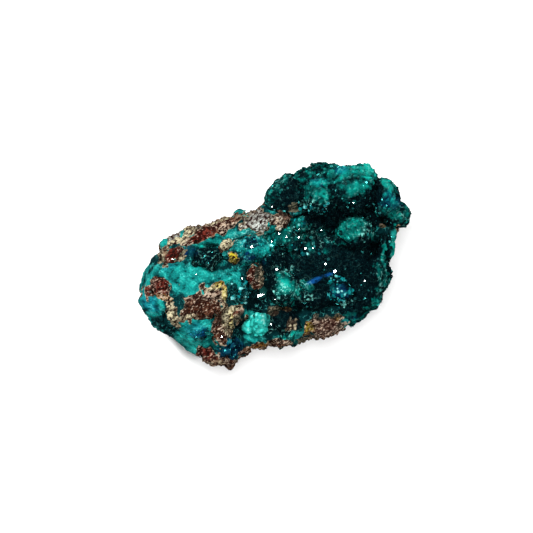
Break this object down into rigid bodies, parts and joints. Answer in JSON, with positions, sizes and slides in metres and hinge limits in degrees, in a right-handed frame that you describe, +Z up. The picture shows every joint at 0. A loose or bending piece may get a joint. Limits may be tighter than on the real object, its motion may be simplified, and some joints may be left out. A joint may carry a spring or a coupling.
{
  "type": "dioptase specimen",
  "caption": "Emerald dioptase crystal druse and turquoise chrysocolla crust on a broken piece of brown rock.",
  "frame": {"origin": "on the table, under the middle of the stone", "axes": "+Z up out of the crystals, +X along the stone towards the large crystal mass"},
  "size_m": [0.045, 0.0352, 0.0203],
  "materials": {
    "rock": "rough, granular, matt",
    "crust": "waxy, botryoidal",
    "dioptase": "glassy crystal faces",
    "pale_crystal": "glassy, milky",
    "blue_crystal": "glassy, deep blue"
  },
  "bodies": {
    "root": {"matrix_rock": "rock", "chrysocolla_crust": "crust", "crust_knob": "crust", "dioptase_mass": "dioptase", "dioptase_rosette": "dioptase", "dioptase_lower_cluster": "dioptase", "pale_crystals": "pale_crystal", "blue_crystals": "blue_crystal"}
  },
  "joints": []
}
